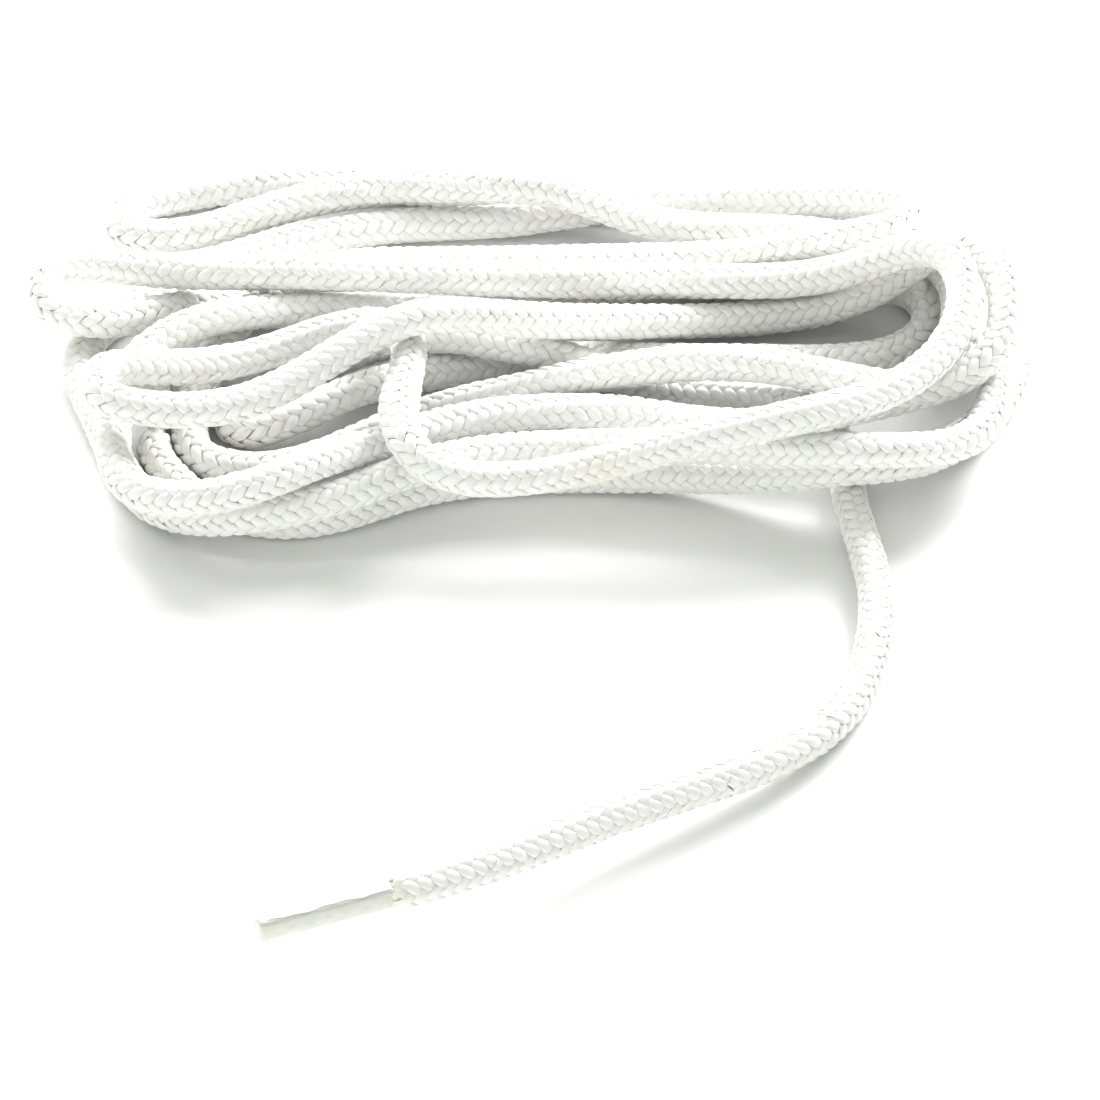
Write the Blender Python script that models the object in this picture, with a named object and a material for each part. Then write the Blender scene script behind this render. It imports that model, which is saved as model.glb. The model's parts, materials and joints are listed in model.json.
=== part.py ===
"""A braided cord of 6 mm, hanked into a loose flattened pile, with a free tail that
comes out from under the pile, curves round and ends in a stiff film-wrapped tip.

The line is one continuous run.  Its route is laid out by hand on a sloping layout
board, as way points (across, down, stacking level), and the board is seen square-on
from one station point, so a way point fixes a sight line and its level the height.
The route is then settled: passes that touch are pushed apart until each has its own
room, nothing goes below the floor, and bends stay open enough for the cord.

Solids: a hollow braided cover (tube) over a core (rod) through the hank, the same two
in each hinged length of the tail, and at both ends a heat-sealed cord end inside a
rectangular film sleeve.  Metres, +Z up, X to the right, Y away from the front.
"""
import math

import bpy
import numpy as np

# ---------------------------------------------------------------- dimensions (metres)
CORD_D = 0.0060            # outside diameter of the braided cord
COVER_R = CORD_D / 2       # circumradius of the cover's faceted outside
SIDES = 8                  # facets round the cover
BORE_R = 0.00205           # circumradius of the cover's bore
CORE_R = 0.00155           # circumradius of the core rod
CORE_SIDES = 6
FLOOR_Z = COVER_R * math.cos(math.pi / SIDES)   # centre height with a facet on the floor
ROOM = 0.00648             # least distance between the centre lines of two passes
TIP_LENGTH = 0.0219        # film sleeve on the cord's end
TIP_W, TIP_H = 0.0028, 0.0038   # sleeve outside, across and high
TIP_WALL = 0.00035
TIP_ROUND = 0.00055
GAP = 0.0003               # left between neighbouring solids
TAIL_PITCH = 0.0215        # spacing of the tail's bending stations
STEM = 0.0060              # bare cord between the last bending station and the sleeve
CUT_OUT, CUT_IN = 0.0016, 0.0010   # set-back of a cut cover end at its outside and bore
BENDS = 6                  # bending stations in the tail
TAIL_FLAT = 0.1450         # length of the tail that runs clear of every other pass
RISE = 0.0067              # height the free end of the tail stands off the floor
RISE_LENGTH = 0.1180       # length of tail over which it climbs to that height

# ------------------------------------------------------------------- layout board
BOARD = 1100.0             # sheet units across and down
STATION_DISTANCE = 1.5     # station point to the middle of the board
STATION_HEIGHT = math.radians(41.0)   # angle of the sight line above the floor
SHEET_PER_METRE = 9363.0   # sheet units per unit of slope from the station point

# Way points (across, down, level): level 0 lies on the floor, 1 lies on one cord.
# The last value of each run says how firmly the run holds to its drawn course.
RUNS = [
    ("tip", 1.0, [(256, 930, 0), (300, 918, 0), (350, 905, 0), (391, 894, 0)]),
    ("tail", 1.0, [(420, 887, 0), (450, 879, 0), (480, 868, 0), (510, 856, 0), (545, 842, 0),
                   (600, 820, 0), (650, 801, 0), (700, 786, 0), (750, 770, 0), (795, 751, 0),
                   (825, 732, 0), (848, 707, 0), (861, 680, 0), (870, 655, 0), (876, 625, 0),
                   (877, 597, 0), (872, 570, 0), (863, 543, 0), (853, 520, 0), (844, 500, 0)]),
    ("tail_under", 0.3, [(840, 485, 0), (838, 465, 0), (842, 440, 0), (841, 418, 0),
                         (825, 402, 0), (790, 397, 0)]),
    ("middle_low", 1.0, [(760, 395, 0), (700, 396, 0), (660, 392, 0), (620, 378, .3)]),
    ("upper_inner", 1.0, [(570, 358, .8), (530, 350, 1), (480, 341, 1), (430, 334, 1),
                          (385, 344, 1), (350, 352, 1), (300, 374, 1), (262, 392, .8),
                          (230, 404, .6), (213, 418, .4), (216, 436, .2)]),
    ("lower_inner", 1.0, [(240, 438, 0), (270, 428, 0), (300, 412, 0), (350, 391, 0),
                          (400, 377, 0), (450, 369, 0), (500, 366, 0)]),
    ("lower_under", 0.1, [(560, 363, 0), (640, 361, 0), (720, 360, 0)]),
    ("inner_right", 1.0, [(800, 360, 0), (860, 361, 0), (904, 353, .1), (934, 333, .3),
                          (942, 307, .6), (924, 286, .9), (890, 280, 1)]),
    ("third_under", 0.1, [(820, 300, 1), (740, 310, .8), (660, 312, .7), (600, 312, .7),
                          (500, 312, .6), (430, 310, .7), (385, 309, .8)]),
    ("left_mid", 1.0, [(345, 309, 1), (300, 310, 1), (250, 313, 1), (200, 321, 1),
                       (165, 335, 1), (140, 355, 1.1), (128, 378, 1.2)]),
    ("left_down", 0.6, [(121, 405, 1.2), (119, 430, 1.2), (114, 458, 1.3), (118, 482, 1.5)]),
    ("front_left", 1.0, [(140, 497, 1.7), (172, 501, 1.9), (200, 499, 2), (230, 495, 2),
                         (260, 486, 2), (300, 472, 2), (350, 455, 2), (380, 445, 1.9)]),
    ("middle_row", 1.0, [(430, 427, 1.9), (480, 417, 2), (540, 412, 2.1), (600, 411, 2.1),
                         (650, 415, 2.1), (700, 425, 2.1), (740, 428, 2.2), (780, 424, 2.3),
                         (820, 414, 2.2)]),
    ("outer_right", 1.0, [(860, 404, 2), (930, 387, 1.9), (975, 374, 2), (1000, 352, 2.2),
                          (1006, 325, 2.3), (1002, 287, 2.3), (988, 254, 2.3), (962, 230, 2.3)]),
    ("tuck", 0.3, [(938, 236, 2.1), (918, 255, 2)]),
    ("third_row", 1.0, [(903, 277, 2), (880, 292, 2), (850, 303, 2), (800, 312, 2),
                        (700, 320, 2), (600, 322, 2), (540, 321, 2), (500, 319, 2),
                        (460, 315, 2.2), (420, 315, 2.7), (400, 320, 2.9), (380, 329, 2.8),
                        (350, 346, 2.7), (300, 378, 2.5), (250, 401, 2.3), (200, 410, 2.2),
                        (150, 407, 2.2), (108, 403, 2.2), (88, 391, 2.2), (86, 374, 2.1),
                        (104, 363, 2), (135, 369, 1.9)]),
    ("left_inner", 1.0, [(160, 371, 1.8), (200, 368, 1.8), (240, 361, 1.8), (280, 350, 1.8),
                         (310, 338, 1.8), (345, 325, 1.8)]),
    ("leg_top", 0.3, [(375, 318, 1.8), (398, 322, 2)]),
    ("leg", 1.0, [(411, 342, 2.5), (409, 362, 2.8), (402, 387, 3), (397, 412, 3),
                  (396, 437, 2.9)]),
    ("sash", 1.0, [(406, 458, 2.6), (428, 472, 2.2), (460, 479, 1.8), (500, 479, 1.6),
                   (550, 474, 1.7), (600, 464, 1.9), (650, 451, 2.3), (700, 437, 2.7),
                   (750, 428, 3), (800, 418, 3.1), (850, 405, 3), (885, 391, 2.9)]),
    ("top_right", 1.0, [(915, 377, 2.8), (938, 358, 2.9), (955, 335, 3), (963, 312, 3.1),
                        (964, 288, 3.2), (958, 262, 3.2), (944, 243, 3.2)]),
    ("top_row", 1.0, [(921, 239, 3), (900, 250, 2.8), (880, 261, 2.6), (850, 273, 2.4),
                      (820, 279, 2.2), (780, 281, 2), (700, 281, 2), (600, 281, 2),
                      (500, 279, 2), (400, 275, 2), (300, 273, 2), (200, 274, 2),
                      (150, 271, 2), (95, 268, 2), (48, 268, 1.7), (31, 275, 1.5)]),
    ("second_row", 1.0, [(27, 289, 1.3), (36, 306, 1), (60, 319, .7), (92, 323, .5),
                         (120, 320, .5), (150, 312, .5), (200, 305, .5), (300, 300, .5),
                         (400, 297, .5), (500, 292, .4), (560, 290, .4)]),
    ("second_under", 0.1, [(620, 286, .3), (700, 278, .2), (800, 266, 0), (850, 258, 0),
                           (900, 248, 0), (932, 254, 0), (952, 275, 0), (961, 310, 0),
                           (966, 340, .2), (979, 368, .7)]),
    ("low_right", 1.0, [(993, 394, 1), (993, 416, 1), (983, 434, 1.1), (966, 444, 1.2),
                        (940, 449, 1.4), (900, 449, 1.8), (850, 449, 2.1), (800, 450, 1.5)]),
    ("low_under", 0.4, [(755, 448, 1.05), (720, 446, 1), (680, 446, .9), (640, 447, .9)]),
    ("low_middle", 1.0, [(600, 447, 1), (520, 451, 1.1), (450, 458, 1.1), (420, 465, 1.1)]),
    ("front_second", 1.0, [(400, 471, 1.05), (350, 490, 1), (300, 505, 1), (250, 515, 1),
                           (200, 518, .9), (165, 516, .8)]),
    ("left_wrap", 0.15, [(143, 500, .5), (132, 478, .3), (130, 450, .1), (127, 425, 0),
                         (108, 398, 0)]),
    ("left_far", 0.6, [(76, 382, 0), (66, 363, 0), (80, 343, 0)]),
    ("left_back", 0.15, [(120, 322, 0), (160, 297, 0), (200, 275, 0), (240, 258, .2)]),
    ("back_second", 1.0, [(280, 245, .5), (320, 236, .6), (360, 228, .7), (400, 223, .7),
                          (450, 222, .7), (500, 222, .7), (540, 219, .7), (575, 210, .6),
                          (605, 203, .5), (650, 201, .6), (700, 200, .7), (760, 199, .8),
                          (820, 198, 1), (880, 198, 1.2), (912, 203, 1.4), (926, 217, 1.6),
                          (914, 230, 1.8), (885, 231, 1.8)]),
    ("second_top", 1.0, [(850, 235, 1.8), (800, 246, 1.7), (750, 256, 1.6), (700, 259, 1.6),
                         (600, 262, 1.5), (500, 264, 1.5), (400, 266, 1.5), (300, 272, 1.3)]),
    ("second_top_under", 0.1, [(255, 290, 1), (230, 325, .6), (215, 365, .4), (200, 400, .4),
                               (185, 422, .5)]),
    ("eye", 1.0, [(177, 442, .6), (181, 460, .6), (200, 468, .6), (230, 474, .6),
                  (250, 474, .6), (300, 464, .6), (340, 448, .7), (380, 431, .8),
                  (430, 410, .9)]),
    ("middle_upper", 1.0, [(470, 403, .9), (510, 394, .9), (550, 384, .9), (590, 375, .9),
                           (620, 371, .9), (650, 367, .9), (700, 362, .9), (750, 364, .9),
                           (800, 370, .9), (850, 379, .9), (890, 387, .9)]),
    ("right_under", 0.4, [(920, 398, .9), (940, 402, .9), (955, 396, .9), (961, 380, 1.1),
                          (962, 355, 1.3), (963, 325, 1.3), (960, 295, 1.2), (945, 268, 1.1),
                          (900, 250, .9), (850, 240, .7)]),
    ("back_top", 1.0, [(800, 234, .7), (760, 232, .8), (700, 230, 1.1), (660, 227, 1.4),
                       (630, 219, 1.6), (600, 204, 1.7), (575, 191, 1.7), (550, 186, 1.6),
                       (500, 188, 1.3), (450, 189, 1.2), (400, 188, 1.2), (340, 194, 1.1),
                       (300, 202, 1), (260, 213, 1), (230, 224, .9), (200, 233, .8),
                       (150, 237, .8), (123, 234, .7), (110, 221, .5), (123, 207, .3),
                       (160, 203, .3), (180, 199, .3), (220, 190, .3), (260, 184, .3),
                       (300, 182, .2)]),
    ("back_under", 0.2, [(350, 188, 0), (450, 191, 0), (550, 196, 0), (650, 204, 0),
                         (750, 208, 0), (830, 210, 0), (890, 220, 0), (945, 237, 0),
                         (983, 268, 0), (998, 305, 0), (1001, 345, 0), (996, 385, 0),
                         (986, 412, 0), (970, 433, 0), (948, 448, 0)]),
    ("front_low", 1.0, [(920, 459, .2), (880, 466, .8), (845, 469, 1), (808, 473, .5),
                        (775, 475, .1), (740, 476, 0), (680, 475, 0), (620, 475, 0), (560, 476, 0),
                        (500, 478, 0), (460, 480, 0), (430, 486, 0), (400, 492, 0),
                        (360, 508, 0), (320, 524, 0), (285, 532, 0), (255, 531, 0)]),
    ("front_low_under", 0.1, [(228, 524, 0), (203, 510, 0), (186, 488, 0), (178, 460, 0)]),
    ("second_end", 0.3, [(174, 430, -.15), (170, 400, -.15), (166, 372, -.15),
                         (163, 346, -.15)]),
]


def unit(v):
    return v / np.maximum(np.linalg.norm(v, axis=-1, keepdims=True), 1e-12)


# ------------------------------------------------------------------ layout to space
EYE = STATION_DISTANCE * np.array([0.0, -math.cos(STATION_HEIGHT), math.sin(STATION_HEIGHT)])
LOOK = unit(-EYE)
ACROSS = np.array([1.0, 0.0, 0.0])
UPRIGHT = np.cross(ACROSS, LOOK)


def sight(uv):
    """Unit sight lines from the station point through board points."""
    x = (uv[:, 0] - BOARD / 2) / SHEET_PER_METRE
    y = (BOARD / 2 - uv[:, 1]) / SHEET_PER_METRE
    return unit(LOOK + x[:, None] * ACROSS + y[:, None] * UPRIGHT)


def on_height(ray, z):
    t = (z - EYE[2]) / ray[:, 2]
    return EYE + t[:, None] * ray


def spline(points, knots, at):
    """Natural cubic spline of the columns of points over knots, read at `at`."""
    n = len(knots)
    h = np.diff(knots)
    a = np.zeros((n, n))
    b = np.zeros((n, points.shape[1]))
    a[0, 0] = a[-1, -1] = 1.0
    for i in range(1, n - 1):
        a[i, i - 1], a[i, i], a[i, i + 1] = h[i - 1], 2 * (h[i - 1] + h[i]), h[i]
        b[i] = 6 * ((points[i + 1] - points[i]) / h[i] - (points[i] - points[i - 1]) / h[i - 1])
    m = np.linalg.solve(a, b)
    k = np.clip(np.searchsorted(knots, at) - 1, 0, n - 2)
    u = (at - knots[k])[:, None]
    v = (knots[k + 1] - at)[:, None]
    hk = h[k][:, None]
    return (m[k] * v ** 3 + m[k + 1] * u ** 3) / (6 * hk) \
        + (points[k] / hk - m[k] * hk / 6) * v + (points[k + 1] / hk - m[k + 1] * hk / 6) * u


def arc(p):
    return np.concatenate([[0.0], np.cumsum(np.linalg.norm(np.diff(p, axis=0), axis=1))])


def resample(p, step, extra=None):
    s = arc(p)
    n = max(2, int(round(s[-1] / step)))
    at = np.linspace(0, s[-1], n + 1)
    q = spline(p, s, at)
    if extra is None:
        return q
    return q, np.stack([np.interp(at, s, e) for e in extra.T], axis=1)


# ------------------------------------------------------------------------- settling
def near_pairs(mid, reach, skip):
    i_all, j_all = [], []
    for a in range(0, len(mid), 200):
        d = np.linalg.norm(mid[a:a + 200, None] - mid[None], axis=2)
        i, j = np.nonzero(d < reach)
        i = i + a
        keep = j - i >= skip
        i_all.append(i[keep])
        j_all.append(j[keep])
    return np.concatenate(i_all), np.concatenate(j_all)


def closest(p, i, j):
    """Closest points of segments i and j: parameters, and the vector from i to j."""
    p1, p2 = p[i], p[j]
    d1, d2 = p[i + 1] - p1, p[j + 1] - p2
    r = p1 - p2
    a = (d1 * d1).sum(1)
    e = (d2 * d2).sum(1)
    b = (d1 * d2).sum(1)
    c = (d1 * r).sum(1)
    f = (d2 * r).sum(1)
    den = np.maximum(a * e - b * b, 1e-18)
    s = np.clip((b * f - c * e) / den, 0, 1)
    t = np.clip((b * s + f) / e, 0, 1)
    s = np.clip((b * t - c) / a, 0, 1)
    return s, t, (p2 + t[:, None] * d2) - (p1 + s[:, None] * d1)


def settle(p, ray, hold, rounds, step, finish=False):
    n = len(p)
    skip = int(round(0.0105 / step))
    bend_k = int(round(0.009 / step))
    far = int(round(0.0072 / step))
    for it in range(rounds):
        late = finish or it > rounds * 0.75
        if it % 12 == 0:
            mid = (p[1:] + p[:-1]) / 2
            pi, pj = near_pairs(mid, ROOM + 0.006, skip)
        move = np.zeros_like(p)
        lap = np.zeros_like(p)
        lap[1:-1] = 0.5 * (p[:-2] + p[2:]) - p[1:-1]
        bi = lap.copy()
        bi[1:-1] -= 0.5 * (lap[:-2] + lap[2:])
        move += (0.14 if finish else 0.20 if late else 0.30) * bi + 0.05 * lap * (1.0 - hold[:, None])
        wide = np.zeros_like(p)
        wide[far:-far] = 0.5 * (p[:-2 * far] + p[2 * far:]) - p[far:-far]
        bow = np.zeros_like(p)
        bow[2 * far:-2 * far] = wide[2 * far:-2 * far] - 0.5 * (wide[far:-3 * far] + wide[3 * far:-far])
        move += (0.05 if finish else 0.08) * bow
        depth = (lap * ray).sum(1)[:, None] * ray
        move += (0.0 if finish else 0.05 if late else 0.16) * depth
        move[:, 2] -= 0.0 if finish else 0.000005 if late else 0.00003
        # drawn course: pull back square to the sight line
        rel = p - EYE
        off = rel - (rel * ray).sum(1)[:, None] * ray
        move -= ((0.03 if finish else 0.05 if late else 0.12) * hold)[:, None] * off
        # contacts
        s, t, v = closest(p, pi, pj)
        dist = np.linalg.norm(v, axis=1)
        bad = dist < ROOM
        if bad.any():
            i, j, s, t = pi[bad], pj[bad], s[bad], t[bad]
            push = (0.5 * (ROOM - dist[bad]) / np.maximum(dist[bad], 1e-9))[:, None] * v[bad]
            add = np.zeros_like(p)
            cnt = np.zeros(n)
            for idx, wt, sign in ((i, 1 - s, -1), (i + 1, s, -1), (j, 1 - t, 1), (j + 1, t, 1)):
                np.add.at(add, idx, sign * wt[:, None] * push)
                np.add.at(cnt, idx, wt)
            add /= np.maximum(cnt, 0.6)[:, None]
            along = (add * ray).sum(1)[:, None] * ray
            side = add - along
            move += 1.2 * along + ((1.0 if late else 0.75) - (0.45 if late else 0.4) * hold)[:, None] * side
        # bends stay open
        c = p[bend_k:] - p[:-bend_k]
        cd = np.linalg.norm(c, axis=1)
        tight = cd < 0.0078
        if tight.any():
            k = np.nonzero(tight)[0]
            push = (0.4 * (0.0078 - cd[k]) / np.maximum(cd[k], 1e-9))[:, None] * c[k]
            np.add.at(move, k, -push)
            np.add.at(move, k + bend_k, push)
        size = np.linalg.norm(move, axis=1, keepdims=True)
        move *= np.minimum(1.0, 0.0006 / np.maximum(size, 1e-12))
        p = p + move
        p[:, 2] = np.maximum(p[:, 2], FLOOR_Z)
    return p


def route():
    uv, level, hold = [], [], []
    for _, firm, pts in RUNS:
        for a, b, c in pts:
            uv.append((a, b))
            level.append(c)
            hold.append(firm)
    uv = np.array(uv, float)
    z = FLOOR_Z + 0.0058 * np.array(level)
    p = on_height(sight(uv), z)
    step = 0.0025
    p, h = resample(p, step, np.array(hold)[:, None])
    p[:, 2] = np.maximum(p[:, 2], FLOOR_Z)
    ray = unit(p - EYE)
    p = settle(p, ray, h[:, 0], 1300, step)
    # even out the ripples at a finer step, then give each pass its room again
    q, h = resample(p, 0.0012, np.concatenate([h, ray], axis=1))
    for _ in range(8):
        q[1:-1] = 0.5 * q[1:-1] + 0.25 * (q[:-2] + q[2:])
    q[:, 2] = np.maximum(q[:, 2], FLOOR_Z)
    q = settle(q, unit(h[:, 1:]), h[:, 0], 420, 0.0012, finish=True)
    q = resample(q, 0.001)
    for _ in range(2):
        q[1:-1] = 0.5 * q[1:-1] + 0.25 * (q[:-2] + q[2:])
    q[:, 2] = np.maximum(q[:, 2], FLOOR_Z)
    return q


# --------------------------------------------------------------------------- meshes
def frames(points, tangents):
    """Section axes: side (level) and up (square to side and tangent)."""
    side = unit(np.cross(tangents, np.array([0.0, 0.0, 1.0])))
    for k in range(1, len(side)):
        if (side[k] * side[k - 1]).sum() < 0:
            side[k] = unit(side[k] + 1.2 * side[k - 1])
    side = unit(side - (side * tangents).sum(1)[:, None] * tangents)
    return side, np.cross(side, tangents)


def circle(n, radius):
    """A round section with a flat side down."""
    a = (np.arange(n) + 0.5) * 2 * math.pi / n - math.pi / 2
    return np.stack([radius * np.cos(a), radius * np.sin(a)], axis=1)


def box_section(w, h, r, per=2):
    """A rectangle with rounded corners, anticlockwise."""
    out = []
    for cx, cy, start in ((1, -1, -90), (1, 1, 0), (-1, 1, 90), (-1, -1, 180)):
        for k in range(per + 1):
            a = math.radians(start + 90.0 * k / per)
            out.append((cx * (w / 2 - r) + r * math.cos(a), cy * (h / 2 - r) + r * math.sin(a)))
    return np.array(out)


def loft(name, rings, colour, rough, closed_ring=False):
    """A closed body from rings of points; closed_ring joins the last ring to the first."""
    n = len(rings[0])
    verts = [tuple(v) for ring in rings for v in ring]
    faces = []
    count = len(rings)
    for k in range(count if closed_ring else count - 1):
        a, b = k * n, ((k + 1) % count) * n
        for i in range(n):
            j = (i + 1) % n
            faces.append((a + i, a + j, b + j, b + i))
    if not closed_ring:
        faces.append(tuple(reversed(range(n))))
        faces.append(tuple((count - 1) * n + i for i in range(n)))
    mesh = bpy.data.meshes.new(name)
    mesh.from_pydata(verts, [], faces)
    mesh.validate()
    mesh.update()
    # turn faces outward: signed volume must be positive
    vol = 0.0
    co = [v.co for v in mesh.vertices]
    for f in mesh.polygons:
        idx = list(f.vertices)
        for k in range(1, len(idx) - 1):
            vol += co[idx[0]].dot(co[idx[k]].cross(co[idx[k + 1]]))
    if vol < 0:
        mesh.flip_normals()
    ob = bpy.data.objects.new(name, mesh)
    bpy.context.scene.collection.objects.link(ob)
    mat = bpy.data.materials.new(name + "_mat")
    mat.use_nodes = True
    bsdf = mat.node_tree.nodes["Principled BSDF"]
    bsdf.inputs["Base Color"].default_value = (*colour, 1.0)
    bsdf.inputs["Roughness"].default_value = rough
    mesh.materials.append(mat)
    for f in mesh.polygons:
        f.use_smooth = True
    return ob


def place(points, side, up, section, grow=None):
    """Rings of a section put square to the route at each point."""
    rings = []
    for k in range(len(points)):
        sec = section if grow is None else section * grow[k]
        rings.append(points[k] + sec[:, :1] * side[k] + sec[:, 1:] * up[k])
    return rings


class Line:
    """The settled centre line with arc length, tangents and section axes."""

    def __init__(self, q):
        self.s = arc(q)
        self.q = q
        t = np.gradient(q, self.s, axis=0)
        self.t = unit(t)
        self.side, self.up = frames(q, self.t)
        turn = np.linalg.norm(np.gradient(self.t, self.s, axis=0), axis=1)
        self.curve = np.convolve(turn, np.ones(5) / 5, mode="same")

    def at(self, s):
        s = np.atleast_1d(s)
        p = np.stack([np.interp(s, self.s, self.q[:, c]) for c in range(3)], axis=1)
        t = unit(np.stack([np.interp(s, self.s, self.t[:, c]) for c in range(3)], axis=1))
        side = np.stack([np.interp(s, self.s, self.side[:, c]) for c in range(3)], axis=1)
        side = unit(side - (side * t).sum(1)[:, None] * t)
        return p, t, side, np.cross(side, t)

    def stations(self, a, b, flat=0.00022, least=0.0027, most=0.0150):
        """Ring stations from a to b, closer where the route bends."""
        out = [a]
        while out[-1] < b:
            s = out[-1]
            step = most
            for _ in range(3):
                near = (self.s >= s) & (self.s <= s + step)
                c = self.curve[near].max() if near.any() else 1.0
                step = min(most, max(least, math.sqrt(8 * flat / max(c, 1e-6))))
            out.append(s + step)
        out = np.array(out)
        out = a + (out - a) * (b - a) / (out[-1] - a)
        return out


COVER_C, CORE_C, FILM_C, END_C = (0.86, 0.87, 0.84), (0.90, 0.90, 0.88), (0.80, 0.82, 0.78), (0.84, 0.85, 0.81)


def cover(name, line, a, b, cut_a, cut_b):
    """Hollow braided cover from a to b, its ends bevelled where they meet a bend."""
    sa = a + (CUT_OUT if cut_a else GAP)
    sb = b - (CUT_OUT if cut_b else GAP)
    ia = a + (CUT_IN if cut_a else GAP)
    ib = b - (CUT_IN if cut_b else GAP)
    s = line.stations(sa, sb)
    p, t, side, up = line.at(s)
    outer = place(p, side, up, circle(SIDES, COVER_R))
    s2 = s.copy()
    s2[0], s2[-1] = ia, ib
    p, t, side, up = line.at(s2)
    inner = place(p, side, up, circle(SIDES, BORE_R))
    return loft(name, outer + inner[::-1], COVER_C, 0.75, closed_ring=True), s


def core(name, line, a, b, cut_a, cut_b, s):
    ia = a + (CUT_IN if cut_a else GAP)
    ib = b - (CUT_IN if cut_b else GAP)
    s = s.copy()
    s[0], s[-1] = ia, ib
    p, t, side, up = line.at(s)
    return loft(name, place(p, side, up, circle(CORE_SIDES, CORE_R)), CORE_C, 0.8)


def sealed_end(name, line, a, b, tip_s, tip_sign, cut):
    """Heat-sealed cord end: full round up to the sleeve, pressed to a rectangle inside it."""
    # tip_s is the free end; tip_sign is +1 when the cord runs from tip_s to larger s
    w, h = TIP_W - 2 * TIP_WALL - 2 * GAP, TIP_H - 2 * TIP_WALL - 2 * GAP
    inner = box_section(w, h, 0.0004)
    m = len(inner)
    ang = np.arctan2(inner[:, 1] / h, inner[:, 0] / w)
    full = np.stack([COVER_R * np.cos(ang), COVER_R * np.sin(ang)], axis=1)
    mouth = tip_s + tip_sign * TIP_LENGTH
    far = b if tip_sign > 0 else a
    end = far - tip_sign * (CUT_OUT if cut else GAP)
    face = far - tip_sign * (CUT_IN if cut else GAP)
    stations = [tip_s + tip_sign * 0.0002] + [tip_s + tip_sign * TIP_LENGTH * k / 4 for k in (1, 2, 3)] \
        + [mouth - tip_sign * 0.0001, mouth + tip_sign * 0.0009]
    scale = [inner] * 5 + [full]
    for k in (1, 2):
        stations.append(mouth + tip_sign * (0.0009 + (abs(end - mouth) - 0.0009) * k / 2))
        scale.append(full)
    stations.append(face)
    scale.append(full * (BORE_R / COVER_R))
    order = range(len(stations))
    rings = []
    drop = []
    for k in order:
        p, t, side, up = line.at(stations[k])
        rings.append(p[0] + scale[k][:, :1] * side[0] + scale[k][:, 1:] * up[0])
    return loft(name, rings, END_C, 0.7), m, drop


def sleeve(name, line, tip_s, tip_sign):
    """Film sleeve: rectangular tube, open at both ends."""
    outer = box_section(TIP_W, TIP_H, TIP_ROUND)
    inner = box_section(TIP_W - 2 * TIP_WALL, TIP_H - 2 * TIP_WALL, TIP_ROUND - 0.0001)
    s = np.array([tip_s + tip_sign * TIP_LENGTH * k / 4 for k in range(5)])
    p, t, side, up = line.at(s)
    a = place(p, side, up, outer)
    b = place(p, side, up, inner)
    return loft(name, a + b[::-1], FILM_C, 0.35, closed_ring=True)


def raise_tail(q):
    """The tail leaves the floor smoothly and climbs to its free end, each point along its sight line."""
    s = arc(q)
    q[s < TAIL_FLAT, 2] = FLOOR_Z
    u = np.clip(s / RISE_LENGTH, 0.0, 1.0)
    rise = RISE * (1.0 - u) ** 2 * (1.0 + 2.0 * u)
    ray = unit(q - EYE)
    return q + ray * (rise / ray[:, 2])[:, None]


def straighten(q, s0, s1, heights=None):
    """Make the route straight between arc lengths s0 and s1, at its own or the given end heights."""
    s = arc(q)
    idx = np.nonzero((s >= s0 - 1e-9) & (s <= s1 + 1e-9))[0]
    a, b = q[idx[0]].copy(), q[idx[-1]].copy()
    if heights:
        a[2], b[2] = heights
    u = ((s[idx] - s[idx[0]]) / (s[idx[-1]] - s[idx[0]]))[:, None]
    q[idx] = a * (1 - u) + b * u
    return idx


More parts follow.
